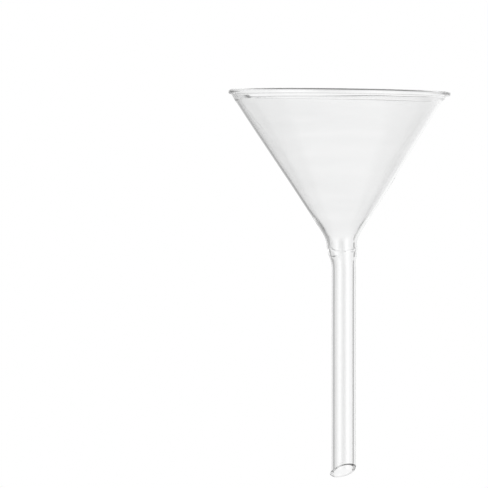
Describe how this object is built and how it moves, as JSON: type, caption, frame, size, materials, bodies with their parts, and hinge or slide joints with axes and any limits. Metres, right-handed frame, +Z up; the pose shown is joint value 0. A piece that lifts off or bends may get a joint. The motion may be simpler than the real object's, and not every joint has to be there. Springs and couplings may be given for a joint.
{
  "type": "glass funnel",
  "caption": "Clear glass laboratory funnel with a flared conical bowl and a long slant-cut stem, for filtering and pouring into flasks.",
  "frame": {"origin": "under the middle of the rim, level with the lowest point of the stem's tip", "axes": "+Z up along the stem, from the tip to the rim; the stem's axis is 1.7 mm to the +X side of the origin; the slanting cut at the tip faces -Y and a little to +X"},
  "size_m": [0.09, 0.09, 0.157],
  "materials": {
    "bowl_glass": "clear blown borosilicate glass, fire-polished",
    "seal_glass": "clear glass melted together in a flame, slightly rippled",
    "stem_glass": "clear drawn glass tube with a ground slanting end"
  },
  "bodies": {
    "root": {"bowl": "bowl_glass", "neck_seal": "seal_glass", "stem": "stem_glass"}
  },
  "joints": []
}
